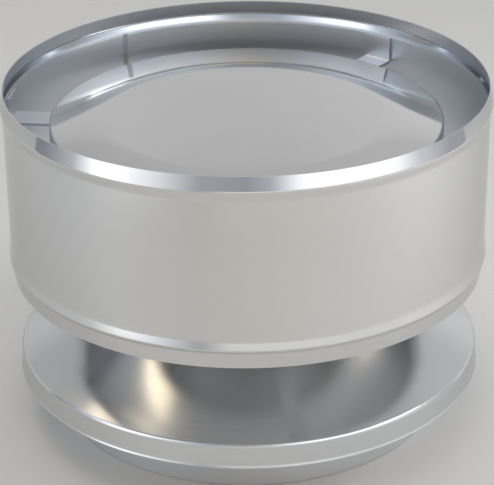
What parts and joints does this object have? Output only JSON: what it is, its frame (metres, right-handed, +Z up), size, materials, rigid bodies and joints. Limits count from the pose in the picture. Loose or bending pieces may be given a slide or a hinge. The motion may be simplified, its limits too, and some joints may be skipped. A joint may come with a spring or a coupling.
{
  "type": "anti-downdraught cowl",
  "caption": "Static chimney cowl: an open sheet-steel drum and a flat deflector disc on folded straps above a conical skirt, with a collar that slips over the flue's casing.",
  "frame": {"origin": "centre of the collar's lower edge, the level on which the cowl stands", "axes": "+Z up along the flue's axis; the picture looks along +Y"},
  "size_m": [0.2524, 0.2524, 0.18],
  "materials": {
    "collar_steel": "bright rolled sheet",
    "skirt_steel": "bright spun sheet",
    "drum_steel": "satin rolled sheet",
    "disc_steel": "bright flat sheet",
    "strap_steel": "plain folded strip"
  },
  "bodies": {
    "root": {"collar": "collar_steel", "skirt": "skirt_steel", "drum": "drum_steel", "deflector_disc": "disc_steel", "support_strap_1": "strap_steel", "support_strap_2": "strap_steel", "support_strap_3": "strap_steel"}
  },
  "joints": []
}
